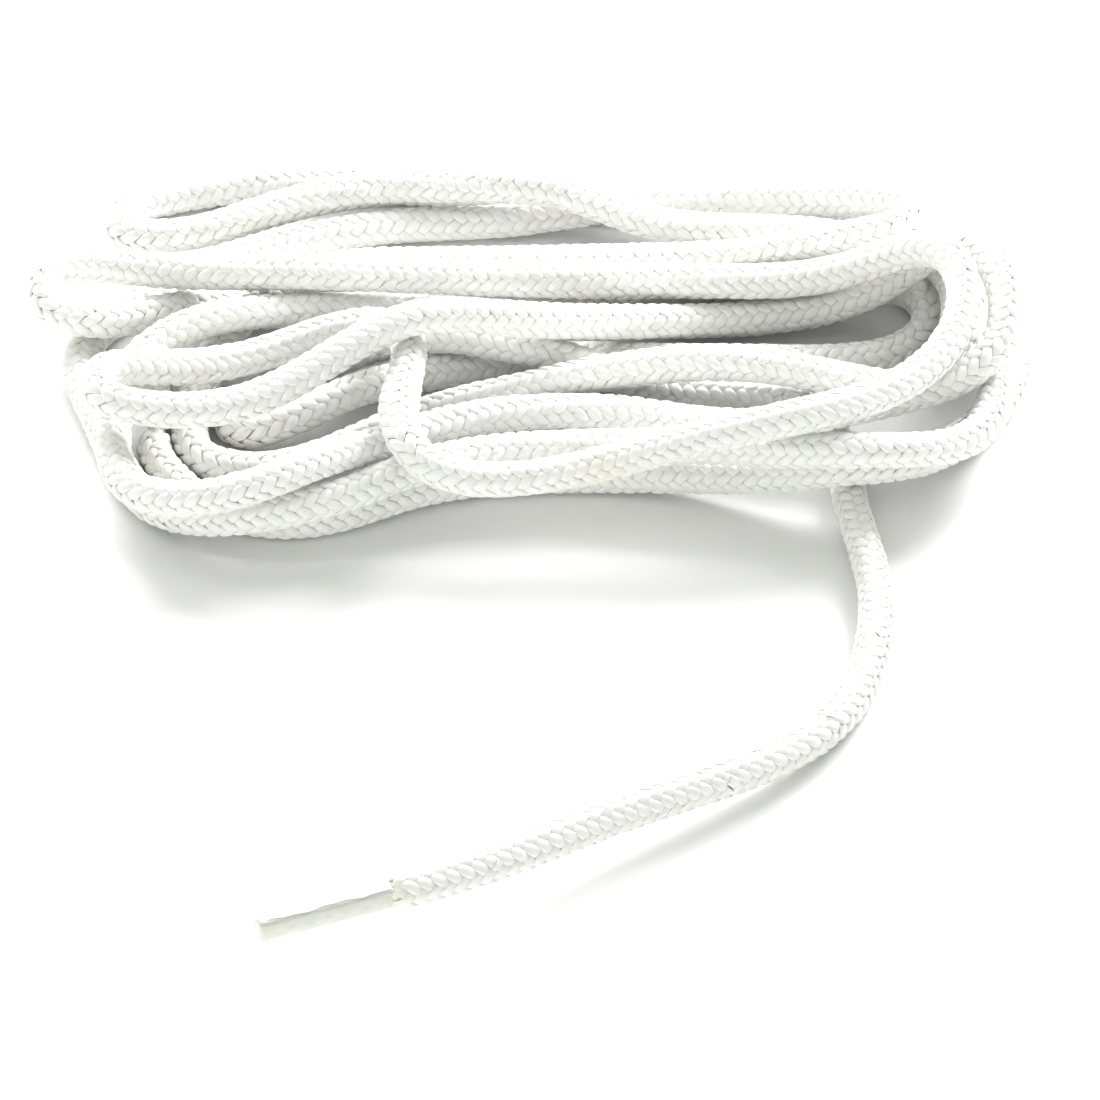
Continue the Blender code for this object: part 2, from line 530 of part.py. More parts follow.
def build():
    for ob in list(bpy.data.objects):
        bpy.data.objects.remove(ob, do_unlink=True)
    q = route()
    total = arc(q)[-1]
    # the stiff sleeves are straight; the hidden one rests its free end on the floor
    q = raise_tail(q)
    head = straighten(q, 0.0, TIP_LENGTH + 0.0004)
    rear = straighten(q, total - TIP_LENGTH - 0.0004, total, (FLOOR_Z, TIP_H / 2 + 0.00003))
    q[rear[0] - 8:rear[0], 2] = np.linspace(q[rear[0] - 8, 2], FLOOR_Z, 8)
    for _ in range(3):
        q[head[-1]:head[-1] + 12] = 0.5 * q[head[-1]:head[-1] + 12] \
            + 0.25 * (q[head[-1] - 1:head[-1] + 11] + q[head[-1] + 1:head[-1] + 13])
    # the row's origin: middle of the whole line's box, on the floor
    low, high = q.min(0), q.max(0)
    shift = np.array([-(low[0] + high[0]) / 2, -(low[1] + high[1]) / 2, 0.0])
    q = q + shift
    line = Line(q)
    total = line.s[-1]

    # bending stations of the tail, counted from the tip
    first = TIP_LENGTH + STEM
    pivots = [first + TAIL_PITCH * k for k in range(BENDS)]
    objs = {}
    # root: the hank, from the last bending station to the second end
    end_a = total - TIP_LENGTH - STEM
    objs["cover_hank"], st = cover("cover_hank", line, pivots[-1], end_a, True, False)
    objs["core_hank"] = core("core_hank", line, pivots[-1], end_a, True, False, st)
    objs["cord_end_b"], _, _ = sealed_end("cord_end_b", line, end_a, total, total, -1, False)
    objs["tip_film_b"] = sleeve("tip_film_b", line, total, -1)
    # tail lengths, numbered outward from the pile
    for k in range(1, BENDS):
        a, b = pivots[BENDS - 1 - k], pivots[BENDS - k]
        objs["cover_tail_%d" % k], st = cover("cover_tail_%d" % k, line, a, b, True, True)
        objs["core_tail_%d" % k] = core("core_tail_%d" % k, line, a, b, True, True, st)
    objs["cord_end_a"], _, _ = sealed_end("cord_end_a", line, 0.0, pivots[0], 0.0, 1, True)
    objs["tip_film_a"] = sleeve("tip_film_a", line, 0.0, 1)

    # the row's origin is the bottom middle of the whole line's box
    low = np.array([[min(v.co[c] for v in o.data.vertices) for c in range(3)] for o in objs.values()]).min(0)
    high = np.array([[max(v.co[c] for v in o.data.vertices) for c in range(3)] for o in objs.values()]).max(0)
    settle_in = -np.array([(low[0] + high[0]) / 2, (low[1] + high[1]) / 2, low[2]])
    for o in objs.values():
        for v in o.data.vertices:
            v.co.x += settle_in[0]
            v.co.y += settle_in[1]
            v.co.z += settle_in[2]
    line.q = line.q + settle_in
    shift = shift + settle_in

    # put each moving length's origin on the station it bends about
    def origin(name, s):
        p = line.at(s)[0][0]
        ob = objs[name]
        for v in ob.data.vertices:
            v.co.x -= p[0]
            v.co.y -= p[1]
            v.co.z -= p[2]
        ob.location = tuple(p)

    for k in range(1, BENDS):
        origin("cover_tail_%d" % k, pivots[BENDS - k])
        origin("core_tail_%d" % k, pivots[BENDS - k])
    origin("cord_end_a", pivots[0])
    origin("tip_film_a", pivots[0])
    tris = sum(sum(len(f.vertices) - 2 for f in o.data.polygons) for o in objs.values())
    print("length %.4f m, triangles %d" % (total, tris))
    print("shift", [round(float(v), 6) for v in shift])
    for k in range(BENDS):
        p, t, side, up = line.at(pivots[BENDS - 1 - k])
        print("bend_%d pos %s tangent %s side %s" % (
            k + 1, [round(float(v), 6) for v in p[0]],
            [round(float(v), 5) for v in t[0]], [round(float(v), 5) for v in side[0]]))
    return line, pivots, shift


LINE, PIVOTS, SHIFT = build()
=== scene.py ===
# A hank of white braided cord lying on the floor, z = 0, with +Z up and the camera on the -Y side.
# The cord follows one centre line, read from the CAD. Arc length s starts at free end a, runs
# through the tail and its six bends, then through the rigid hank to end b.
# Both ends are sealed in a film sleeve. All lengths are in metres.
import json
import math

import bpy
import numpy as np
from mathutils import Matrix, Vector


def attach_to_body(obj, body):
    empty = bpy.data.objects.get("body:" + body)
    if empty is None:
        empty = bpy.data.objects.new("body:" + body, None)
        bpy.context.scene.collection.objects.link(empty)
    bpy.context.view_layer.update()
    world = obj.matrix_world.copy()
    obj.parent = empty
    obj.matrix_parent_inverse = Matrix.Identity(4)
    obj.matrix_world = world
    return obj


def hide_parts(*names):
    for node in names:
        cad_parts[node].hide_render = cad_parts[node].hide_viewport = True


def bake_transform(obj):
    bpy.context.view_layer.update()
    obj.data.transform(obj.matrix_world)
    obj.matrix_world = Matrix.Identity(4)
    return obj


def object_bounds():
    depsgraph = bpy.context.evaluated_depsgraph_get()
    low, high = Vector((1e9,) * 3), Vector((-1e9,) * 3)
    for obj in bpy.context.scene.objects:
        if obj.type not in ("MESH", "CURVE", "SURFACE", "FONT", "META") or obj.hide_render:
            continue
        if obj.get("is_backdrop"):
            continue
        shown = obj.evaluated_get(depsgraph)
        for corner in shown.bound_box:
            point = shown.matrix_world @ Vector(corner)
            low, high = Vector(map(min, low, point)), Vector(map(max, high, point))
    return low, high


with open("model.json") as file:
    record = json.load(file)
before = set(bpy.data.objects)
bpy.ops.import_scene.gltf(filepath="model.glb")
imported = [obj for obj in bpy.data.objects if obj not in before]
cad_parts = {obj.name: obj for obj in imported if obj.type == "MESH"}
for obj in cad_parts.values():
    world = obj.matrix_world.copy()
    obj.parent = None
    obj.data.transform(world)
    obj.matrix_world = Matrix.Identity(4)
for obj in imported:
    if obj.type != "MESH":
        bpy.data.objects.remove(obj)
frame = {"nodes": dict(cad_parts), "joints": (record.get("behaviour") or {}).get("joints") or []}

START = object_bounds()
VERTICAL = (0, 0, 1.0)

# ---------------------------------------------------------------- dimensions
LAY = 0.0183             # one full turn of a strand
CARRIERS = 8             # strands in each direction
BRAID_R = 0.00226        # mean radius of the strand centres
WEAVE_RISE = 0.00030     # how far a strand rises and dives
STRAND_W = 0.00184
STRAND_T = 0.00086
CORE_R = 0.00190
PER_TURN = 40       # rings per turn of a strand
SECTION = 10         # points round a strand
CORE_POINTS = 16                     # points round the core
CORE_STEP = 0.001                    # spacing of the core's rings
UV_PER_METRE = 100

TIP_LENGTH = 0.0219
TIP_W, TIP_H = 0.0028, 0.0038
TIP_OVERLAP = 0.0010     # how far the braid and core run into a sleeve

# joints of the tail, from free end a towards the hank
BENDS = ["tip", "tail_5", "tail_4", "tail_3", "tail_2", "tail_1"]
BODIES = BENDS + ["hank"]
TAIL_PITCH = 0.0215      # the last bend piece runs half of this past its joint
TAIL_SPAN = 0.2          # all the joints lie within this arc length


# ---------------------------------------------------------------- vectors
def unit(v):
    return v / np.maximum(np.linalg.norm(v, axis=-1, keepdims=True), 1e-15)


def dot(a, b):
    return (a * b).sum(-1)[..., None]


def square_to(v, along):
    """Unit vectors v with their part along the line taken out."""
    return unit(v - dot(v, along) * along)


def reflect(v, normal):
    return v - (2 / (normal @ normal)) * (normal @ v) * normal


# ---------------------------------------------------------------- centre line from the CAD
WELD = 2e-6              # vertices this close count as one
END_FACE_REACH = 0.0066  # an end face lies within this of any of its vertices
END_FACE_DEPTH = 4e-6    # how far off its plane an end face's vertices may be
RING_GAP = 0.0015        # least spacing of a sleeve's rings
STEM_GAP = 0.0006        # cord b's rings are kept until this short of its sleeve
LINE_STEP = 0.00025      # spacing of the samples on the line


def node_vertices(node):
    """Vertex places of a CAD node, and the same in whole steps of WELD."""
    mesh = frame["nodes"][node].data
    places = np.zeros(len(mesh.vertices) * 3)
    mesh.vertices.foreach_get("co", places)
    places = places.reshape(-1, 3)
    return places, np.round(places / WELD).astype(np.int64)


def layers(neighbours, seed):
    """Vertices in layers, each one edge further from the seed."""
    seen = set(seed)
    found = [list(seed)]
    while True:
        outer = set()
        for v in found[-1]:
            outer.update(neighbours[v])
        outer -= seen
        if not outer:
            return found
        seen |= outer
        found.append(sorted(outer))


def end_face(v, points, triangles, per_ring):
    """The flat end face that holds vertex v, or None."""
    close = np.flatnonzero(np.linalg.norm(points - points[v], axis=1) < END_FACE_REACH)
    for a, b, c in triangles[np.any(triangles == v, axis=1)]:
        normal = np.cross(points[b] - points[a], points[c] - points[a])
        size = np.linalg.norm(normal)
        if size < 1e-14:
            continue
        normal = normal / size
        face = [i for i in close if abs((points[i] - points[v]) @ normal) < END_FACE_DEPTH]
        if len(face) == per_ring:
            return face
    return None


def ring_centres(node):
    """Ring centres of a lofted node, one end to the other."""
    places, steps = node_vertices(node)
    welded, index = np.unique(steps, axis=0, return_inverse=True)
    index = index.reshape(-1)
    points = np.zeros((len(welded), 3))
    shared = np.zeros(len(welded))
    np.add.at(points, index, places)
    np.add.at(shared, index, 1)
    points /= shared[:, None]

    mesh = frame["nodes"][node].data
    mesh.calc_loop_triangles()
    corners = np.zeros(len(mesh.loop_triangles) * 3, np.int64)
    mesh.loop_triangles.foreach_get("vertices", corners)
    triangles = index[corners.reshape(-1, 3)]
    neighbours = [set() for _ in welded]
    for a, b, c in triangles:
        neighbours[a].update((b, c))
        neighbours[b].update((a, c))
        neighbours[c].update((a, b))

    # the furthest vertices from any start lie on an end face
    per_ring = 6 if node.startswith("core") else 12
    one_end = layers(neighbours, [0])[-1]
    other_end = layers(neighbours, [one_end[0]])[-1]
    for v in other_end + one_end:
        seed = end_face(v, points, triangles, per_ring)
        if seed:
            break
    rings = [r for r in layers(neighbours, seed) if len(r) == per_ring]
    return np.array([points[r].mean(0) for r in rings])


def sleeve_rings(node):
    """Middles of a sleeve's rings, in order along its length."""
    points = np.unique(node_vertices(node)[1], axis=0) * WELD
    offset = points - points.mean(0)
    axis = np.linalg.svd(offset, full_matrices=False)[2][0]
    height = offset @ axis
    order = np.argsort(height)
    groups = np.split(order, np.flatnonzero(np.diff(height[order]) > RING_GAP) + 1)
    return np.array([points[g].mean(0) for g in groups])


def start_near(points, place):
    """The points, turned round if need be to start at the end nearer the place."""
    if np.linalg.norm(points[0] - place) > np.linalg.norm(points[-1] - place):
        return points[::-1]
    return points


def natural_spline(points):
    """Smooth curve through the points as a function of chord length, and its total length."""
    chord = np.linalg.norm(np.diff(points, axis=0), axis=1)
    points = points[np.concatenate([[True], chord > 2e-5])]
    step = np.linalg.norm(np.diff(points, axis=0), axis=1)
    x = np.concatenate([[0], np.cumsum(step)])
    n = len(x)
    h = np.diff(x)
    # tridiagonal system for the second derivatives, which are zero at both ends
    low, middle, high, right = np.zeros(n), np.ones(n), np.zeros(n), np.zeros((n, 3))
    low[1:-1], high[1:-1] = h[:-1], h[1:]
    middle[1:-1] = 2 * (h[:-1] + h[1:])
    right[1:-1] = 6 * ((points[2:] - points[1:-1]) / h[1:, None]
                       - (points[1:-1] - points[:-2]) / h[:-1, None])
    ratio, value = np.zeros(n), np.zeros((n, 3))
    ratio[0], value[0] = high[0] / middle[0], right[0] / middle[0]
    for i in range(1, n):
        pivot = middle[i] - low[i] * ratio[i - 1]
        ratio[i] = high[i] / pivot
        value[i] = (right[i] - low[i] * value[i - 1]) / pivot
    bend = np.zeros((n, 3))
    bend[-1] = value[-1]
    for i in range(n - 2, -1, -1):
        bend[i] = value[i] - ratio[i] * bend[i + 1]

    def at(t):
        k = np.clip(np.searchsorted(x, t) - 1, 0, n - 2)
        past, left, hk = (t - x[k])[:, None], (x[k + 1] - t)[:, None], h[k][:, None]
        return ((bend[k] * left ** 3 + bend[k + 1] * past ** 3) / (6 * hk)
                + (points[k] / hk - bend[k] * hk / 6) * left
                + (points[k + 1] / hk - bend[k + 1] * hk / 6) * past)
    return at, x[-1]


def centre_knots():
    """Points of the centre line from free end a to free end b."""
    pivots = {j["child"]: np.array(j["pos_m"], float) for j in frame["joints"]}
    knots = [start_near(ring_centres("cord_end_a"), pivots["tip"])[::-1]]
    for child, core in zip(BENDS, BODIES[1:]):
        knots.append(pivots[child][None, :])
        knots.append(start_near(ring_centres("core_" + core), pivots[child]))
    # end b: the short stem, then the middle of the sleeve
    last = knots[-1][-1]
    sleeve = start_near(sleeve_rings("tip_film_b"), last)
    stem = start_near(ring_centres("cord_end_b"), last)
    stem = stem[(stem - sleeve[0]) @ unit(sleeve[1] - sleeve[0]) < -STEM_GAP]
    return np.concatenate(knots + [stem, sleeve]), pivots


def twist_free_sides(points, along):
    """Sideways vectors carried along the line by double reflection, without twist."""
    sides = np.zeros_like(points)
    sides[0] = unit(np.cross(along[0], VERTICAL))
    for i in range(len(points) - 1):
        chord = points[i + 1] - points[i]
        side = reflect(sides[i], chord)
        turn = along[i + 1] - reflect(along[i], chord)
        sides[i + 1] = reflect(side, turn) if turn @ turn > 1e-20 else side
    return square_to(sides, along)


KNOTS, PIVOTS = centre_knots()
curve, chord_total = natural_spline(KNOTS)
LINE = curve(np.linspace(0, chord_total, int(chord_total / LINE_STEP)))
LINE_S = np.concatenate([[0], np.cumsum(np.linalg.norm(np.diff(LINE, axis=0), axis=1))])
LINE_ALONG = unit(np.gradient(LINE, LINE_S, axis=0))
LINE_SIDE = twist_free_sides(LINE, LINE_ALONG)
TOTAL = LINE_S[-1]


def frames_at(s):
    """Centre, direction and the two section axes of the line at arc lengths s."""
    centre, along, side = (
        np.stack([np.interp(s, LINE_S, samples[:, c]) for c in range(3)], axis=1)
        for samples in (LINE, LINE_ALONG, LINE_SIDE))
    along = unit(along)
    side = square_to(side, along)
    return centre, along, side, np.cross(side, along)


def nearest_s(place, among):
    """Arc length of the sample nearest the place, among some of the samples."""
    return LINE_S[among][np.argmin(np.linalg.norm(LINE[among] - place, axis=1))]


# ---------------------------------------------------------------- section of the cord
FLAT_PLACE = np.array([-0.0206, 0.0204, 0.0170])   # a pass that lies flattened over the others
FLAT_S = nearest_s(FLAT_PLACE, LINE_S >= TAIL_SPAN)
FLAT_LENGTH = 0.0075
FLAT_SPREAD, FLAT_DROP = 0.17, 0.09
PINCH_ACROSS, PINCH_UP = 0.37, 0.53                # section scale inside the film sleeves
PINCH_START, PINCH_LENGTH = -0.0012, 0.0029        # from the sleeve's inner end, outwards


def section_scale(s):
    """Scale of the cord's section, across and upright, at arc lengths s."""
    clear = np.minimum(s, TOTAL - s) - TIP_LENGTH
    x = np.clip((clear - PINCH_START) / PINCH_LENGTH, 0, 1)
    full = x * x * (3 - 2 * x)
    flat = np.exp(-((s - FLAT_S) / FLAT_LENGTH) ** 2)
    return ((PINCH_ACROSS + (1 - PINCH_ACROSS) * full) * (1 + FLAT_SPREAD * flat),
            (PINCH_UP + (1 - PINCH_UP) * full) * (1 - FLAT_DROP * flat))


def shape_section(rings, centre, along, s):
    """Scale rings (n by m by 3) about the centre line by section_scale."""
    level = unit(np.cross(along, VERTICAL))[:, None, :]
    upright = np.cross(level, along[:, None, :])
    offset = rings - centre[:, None, :]
    across, up = section_scale(s)
    return (rings + (across - 1)[:, None, None] * dot(offset, level) * level
            + (up - 1)[:, None, None] * dot(offset, upright) * upright)


# ---------------------------------------------------------------- meshes
FLOOR_SOFT = 0.00035     # below this height the cord flattens against the floor

# faint warm marks: place, radius, strength
WARM = [
    (np.array([0.0122, 0.0087, 0.0135]), 0.0042, 0.55),                # on an upper pass
    (frames_at(np.array([TIP_LENGTH + 0.0006]))[0][0], 0.0030, 0.65),  # where cord leaves film a
]


def rest_on_floor(verts):
    verts = np.array(verts, float)
    z = verts[:, 2]
    pressed = FLOOR_SOFT * np.exp(np.minimum((z - FLOOR_SOFT) / FLOOR_SOFT, 0))
    verts[:, 2] = np.where(z < FLOOR_SOFT, pressed, z)
    return verts


def add_object(name, mesh):
    ob = bpy.data.objects.new(name, mesh)
    bpy.context.scene.collection.objects.link(ob)
    return ob


def make_mesh(name, verts, quads, material, uvs=None, smooth=True):
    """Object of quads, with the warm marks as a point attribute."""
    mesh = bpy.data.meshes.new(name)
    verts = rest_on_floor(verts)
    count = len(quads)
    mesh.vertices.add(len(verts))
    mesh.vertices.foreach_set("co", np.asarray(verts, np.float32).reshape(-1))
    mesh.loops.add(count * 4)
    mesh.loops.foreach_set("vertex_index", np.asarray(quads, np.int32).reshape(-1))
    mesh.polygons.add(count)
    mesh.polygons.foreach_set("loop_start", np.arange(count, dtype=np.int32) * 4)
    mesh.polygons.foreach_set("loop_total", np.full(count, 4, np.int32))
    mesh.polygons.foreach_set("use_smooth", np.full(count, smooth, bool))
    mesh.update(calc_edges=True)
    if uvs is not None:
        layer = mesh.uv_layers.new(name="along")
        layer.data.foreach_set("uv", np.asarray(uvs, np.float32).reshape(-1))
    warm = np.zeros(len(verts))
    for place, radius, strength in WARM:
        warm += strength * np.exp(-(np.linalg.norm(verts - place, axis=1) / radius) ** 2)
    attribute = mesh.attributes.new("warm", "FLOAT", "POINT")
    attribute.data.foreach_set("value", np.clip(warm, 0, 1).astype(np.float32))
    mesh.validate()
    mesh.materials.append(material)
    return add_object(name, mesh)


def grid(n, m, base=0):
    """Quads joining n rings of m vertices."""
    i, j = np.meshgrid(np.arange(n - 1), np.arange(m), indexing="ij")
    k = (j + 1) % m
    quads = np.stack([i * m + j, i * m + k, (i + 1) * m + k, (i + 1) * m + j], axis=-1)
    return quads.reshape(-1, 4) + base


def grid_uv(u, m):
    """UVs of a grid: u per ring, v from 0 to 1 round it."""
    i, j = np.meshgrid(np.arange(len(u) - 1), np.arange(m), indexing="ij")
    v0, v1 = j / m, (j + 1) / m
    uv = np.stack([u[i], v0, u[i], v1, u[i + 1], v1, u[i + 1], v0], axis=-1)
    return uv.reshape(-1, 2)


# ---------------------------------------------------------------- strands and core
WEAVE_FLATNESS = 1.9               # flattens the tops of the over-and-under wave
OVAL = 0.018                       # how far the cord is out of round
TUCK_W, FLOAT_W = 0.78, 0.28       # width where tucked under, and gain in the middle of a float
TUCK_T, FLOAT_T = 0.82, 0.22       # the same for thickness
# random change from one petal (one float of a strand) to the next
PETAL_RISE = 0.00005
PETAL_W, PETAL_T = 0.04, 0.06      # share of the strand's width and thickness
PETAL_SHIFT, PETAL_TILT = 0.035, 0.10              # radians
SIDE_POWER = 0.85                  # squares the strand's sides
UNDER_DEPTH = 0.85                 # depth of its underside, against 1 on top


def wander(s, size, seed, scale):
    """A slow random wave along the line, about -size to size."""
    draw = np.random.default_rng(seed)
    wave = np.zeros_like(s)
    for _ in range(6):
        length = scale * draw.uniform(0.5, 2.2)
        wave += math.sqrt(1 / 6) * 1.4 * np.sin(2 * math.pi * s / length + draw.uniform(0, 6.28))
    return size * wave


def petal_noise(petal, seed):
    """A steady random number from -1 to 1 for each petal."""
    x = np.sin(petal * 12.9898 + seed * 78.233) * 43758.5453
    return 2 * (x - np.floor(x)) - 1


def strand_rings(k, hand, s):
    """Vertices of strand k, which turns by hand (1 or -1), ring by ring at arc lengths s."""
    drift = wander(s, size=0.55, seed=11, scale=0.22)      # the rows wander round the cord
    angle = hand * (2 * math.pi * s / LAY + 2 * math.pi * k / CARRIERS)
    cycle = CARRIERS / 2 * (angle + math.pi / (2 * CARRIERS))
    wave = np.sin(cycle)
    lift = hand * (np.tanh(WEAVE_FLATNESS * wave) / math.tanh(WEAVE_FLATNESS))
    petal = np.floor((hand * cycle) / math.pi) + 131 * k + (0 if hand > 0 else 977)
    fade = np.abs(wave) ** 0.7
    noise_1, noise_2, noise_3 = (petal_noise(petal, seed) * fade for seed in (1.0, 2.0, 3.0))

    radius = (BRAID_R + WEAVE_RISE * lift + np.clip(lift, 0, 1) * PETAL_RISE * noise_1
              + wander(s, size=0.00004, seed=23, scale=0.05))
    oval_turn = wander(s, size=2, seed=31, scale=0.3)
    radius = radius * (1 + OVAL * np.cos(2 * (angle + drift) + oval_turn))
    belly = np.clip(wave * hand, 0, 1) ** 1.3
    width = STRAND_W * (TUCK_W + FLOAT_W * belly + PETAL_W * noise_2)
    thick = STRAND_T * (TUCK_T + FLOAT_T * belly + PETAL_T * noise_3)

    turned = angle + drift + PETAL_SHIFT * noise_2
    centre, along, side, up = frames_at(s)
    out = side * np.cos(turned)[:, None] + up * np.sin(turned)[:, None]
    middle = centre + out * radius[:, None]
    heading = unit(np.gradient(middle, axis=0))
    across = unit(np.cross(out, heading))
    normal = unit(np.cross(heading, across))
    tilt = PETAL_TILT * noise_3
    cos, sin = np.cos(tilt)[:, None], np.sin(tilt)[:, None]
    across, normal = across * cos + normal * sin, normal * cos - across * sin

    # section: flat below, plump above
    around = np.arange(SECTION) / SECTION * 2 * math.pi - math.pi / 2
    x, y = np.cos(around), np.sin(around)
    x = np.sign(x) * np.abs(x) ** SIDE_POWER
    y = np.where(y > 0, y, UNDER_DEPTH * y)
    rings = (middle[:, None, :]
             + across[:, None, :] * (0.5 * width[:, None] * x[None, :])[:, :, None]
             + normal[:, None, :] * (0.5 * thick[:, None] * y[None, :])[:, :, None])
    return shape_section(rings, centre, along, s).reshape(-1, 3)


def strand_piece(name, strands, s0, s1):
    """One mesh of the given strands from arc length s0 to s1."""
    n = max(4, int(round((s1 - s0) / LAY * PER_TURN)) + 1)
    s = np.linspace(s0, s1, n)
    strand_length = s * math.sqrt(1 + (2 * math.pi * BRAID_R / LAY) ** 2)
    verts, quads, uvs = [], [], []
    for index, (k, hand) in enumerate(strands):
        verts.append(strand_rings(k, hand, s))
        quads.append(grid(n, SECTION, base=index * n * SECTION))
        # each strand starts elsewhere in the texture
        shift = 3.7 * k + (11.3 if hand > 0 else 0)
        uvs.append(grid_uv(strand_length * UV_PER_METRE + shift, SECTION))
    return make_mesh(name, np.concatenate(verts), np.concatenate(quads), BRAID_YARN,
                     uvs=np.concatenate(uvs))


def core_tube(name, s0, s1):
    n = max(4, int((s1 - s0) / CORE_STEP))
    s = np.linspace(s0, s1, n)
    centre, along, side, up = frames_at(s)
    a = (np.arange(CORE_POINTS) / CORE_POINTS * 2 * math.pi)[None, :, None]
    rings = centre[:, None, :] + CORE_R * (side[:, None, :] * np.cos(a)
                                           - up[:, None, :] * np.sin(a))
    rings = shape_section(rings, centre, along, s)
    # the core's material holds painted shade for the gaps between the strands
    return make_mesh(name, rings.reshape(-1, 3), grid(n, CORE_POINTS), CORE_YARN_PAINTED_SHADE,
                     uvs=grid_uv(s * UV_PER_METRE, CORE_POINTS))


# ---------------------------------------------------------------- materials
def add_node(tree, kind, inputs=None, **settings):
    node = tree.nodes.new("ShaderNode" + kind)
    for key, value in settings.items():
        setattr(node, key, value)
    for key, value in (inputs or {}).items():
        node.inputs[key].default_value = value
    return node


def new_material(name, inputs):
    """Material with one Principled shader, and its tree and shader."""
    mat = bpy.data.materials.new(name)
    mat.use_nodes = True
    tree = mat.node_tree
    tree.nodes.clear()
    output = add_node(tree, "OutputMaterial")
    shader = add_node(tree, "BsdfPrincipled", inputs)
    tree.links.new(shader.outputs["BSDF"], output.inputs["Surface"])
    return mat, tree, shader


def colour_ramp(tree, noise, low, high, start=0.0, end=1.0):
    """Ramp from one colour to another over the noise."""
    ramp = add_node(tree, "ValToRGB")
    for element, place, colour in zip(ramp.color_ramp.elements, (start, end), (low, high)):
        element.position = place
        element.color = (*colour, 1)
    tree.links.new(noise.outputs["Fac"], ramp.inputs["Fac"])
    return ramp.outputs["Color"]


def multiply(tree, factor, colour, tint):
    """Colour multiplied by a tint, as far as the factor goes."""
    mix = add_node(tree, "Mix", {"B": (*tint, 1)}, data_type="RGBA", blend_type="MULTIPLY")
    tree.links.new(factor, mix.inputs["Factor"])
    tree.links.new(colour, mix.inputs["A"])
    return mix.outputs["Result"]


def cord_material(name, light, shade):
    """Yarn with fine filaments along it, slow changes of tint and the warm marks."""
    mat, tree, shader = new_material(name, {
        "Roughness": 0.52, "Specular IOR Level": 0.35,
        "Sheen Weight": 0.15, "Sheen Roughness": 0.4})
    link = tree.links.new
    # filaments: noise drawn out along the strand
    uv = add_node(tree, "UVMap", uv_map="along")
    stretch = add_node(tree, "Mapping", {"Scale": (2.2, 26.0, 1.0)})
    link(uv.outputs["UV"], stretch.inputs["Vector"])
    filaments = add_node(tree, "TexNoise", {"Scale": 1.0, "Detail": 3.0, "Roughness": 0.6})
    link(stretch.outputs["Vector"], filaments.inputs["Vector"])
    yarn = colour_ramp(tree, filaments, low=shade, high=light, start=0.30, end=0.58)
    # broad patches
    place = add_node(tree, "TexCoord")
    patches = add_node(tree, "TexNoise", {"Scale": 14.0, "Detail": 2.0})
    link(place.outputs["Object"], patches.inputs["Vector"])
    amount = add_node(tree, "MapRange", {
        "From Min": 0.45, "From Max": 0.75, "To Min": 0.0, "To Max": 0.55})
    link(patches.outputs["Fac"], amount.inputs["Value"])
    patched = multiply(tree, amount.outputs["Result"], yarn, tint=(0.97, 0.97, 0.942))
    warm = add_node(tree, "Attribute", attribute_name="warm")
    warmed = multiply(tree, warm.outputs["Fac"], patched, tint=(0.97, 0.93, 0.80))
    link(warmed, shader.inputs["Base Color"])
    bump = add_node(tree, "Bump", {"Strength": 0.35, "Distance": 0.00010})
    link(filaments.outputs["Fac"], bump.inputs["Height"])
    link(bump.outputs["Normal"], shader.inputs["Normal"])
    return mat


def plain_material(name, colour, rough, specular, spread, scale, extra=None):
    """One colour, varied up and down by spread with noise of the given scale."""
    mat, tree, shader = new_material(name, {
        "Roughness": rough, "Specular IOR Level": specular, **(extra or {})})
    place = add_node(tree, "TexCoord")
    noise = add_node(tree, "TexNoise", {"Scale": scale})
    tree.links.new(place.outputs["Object"], noise.inputs["Vector"])
    varied = colour_ramp(tree, noise, low=[max(0, c - spread) for c in colour],
                         high=[min(1, c + spread) for c in colour])
    tree.links.new(varied, shader.inputs["Base Color"])
    return mat


BRAID_YARN = cord_material("braid_yarn", light=(0.868, 0.868, 0.860), shade=(0.80, 0.805, 0.778))
# the core's colour is darker and greener than the braid's: painted shade for the gaps between the
# strands, where the core shows through
CORE_YARN_PAINTED_SHADE = cord_material("core_yarn", light=(0.79, 0.80, 0.74), shade=(0.69, 0.70, 0.63))
PRESSED_CORD = plain_material("pressed_cord", (0.85, 0.86, 0.81), rough=0.6, specular=0.3,
                              spread=0.05, scale=1400.0)
FILM = plain_material("film", (0.77, 0.787, 0.735), rough=0.30, specular=0.5,
                      spread=0.05, scale=500.0,
                      extra={"Transmission Weight": 0.20, "IOR": 1.35})

# ---------------------------------------------------------------- the cord
STRANDS = [(k, hand) for k in range(CARRIERS) for hand in (1, -1)]


def tail_cuts(joints):
    """Ends of the bend pieces: midway between joints, on whole ring steps."""
    cuts = [(a + b) / 2 for a, b in zip(joints[:-1], joints[1:])]
    cuts.append(joints[-1] + TAIL_PITCH / 2)
    step = LAY / PER_TURN
    return [TIP_LENGTH - TIP_OVERLAP] + [round(c / step) * step for c in cuts]


def tail(joints, cuts):
    """One braid and one core piece for each bend."""
    for i, joint in enumerate(joints):
        s0, s1 = cuts[i], cuts[i + 1]

        def attach(piece, old):
            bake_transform(piece)
            if i:
                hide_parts(old + BODIES[i])

        number = len(joints) - i
        attach(strand_piece("braid_bend_%d" % number, STRANDS, s0, s1), "cover_")
        attach(core_tube("core_bend_%d" % number, s0, s1), "core_")


def attach_rigid(piece, body, old=None):
    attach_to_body(piece, body)
    if old:
        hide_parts(old)


def hank(s0, s1):
    """The coiled run: one mesh for each strand, and the core."""
    for k, hand in STRANDS:
        name = "strand_%s_%d" % ("s" if hand > 0 else "z", k + 1)
        piece = strand_piece(name, [(k, hand)], s0, s1)
        attach_rigid(piece, "hank", "cover_hank")
    attach_rigid(core_tube("core_run", s0, s1), "hank", "core_hank")


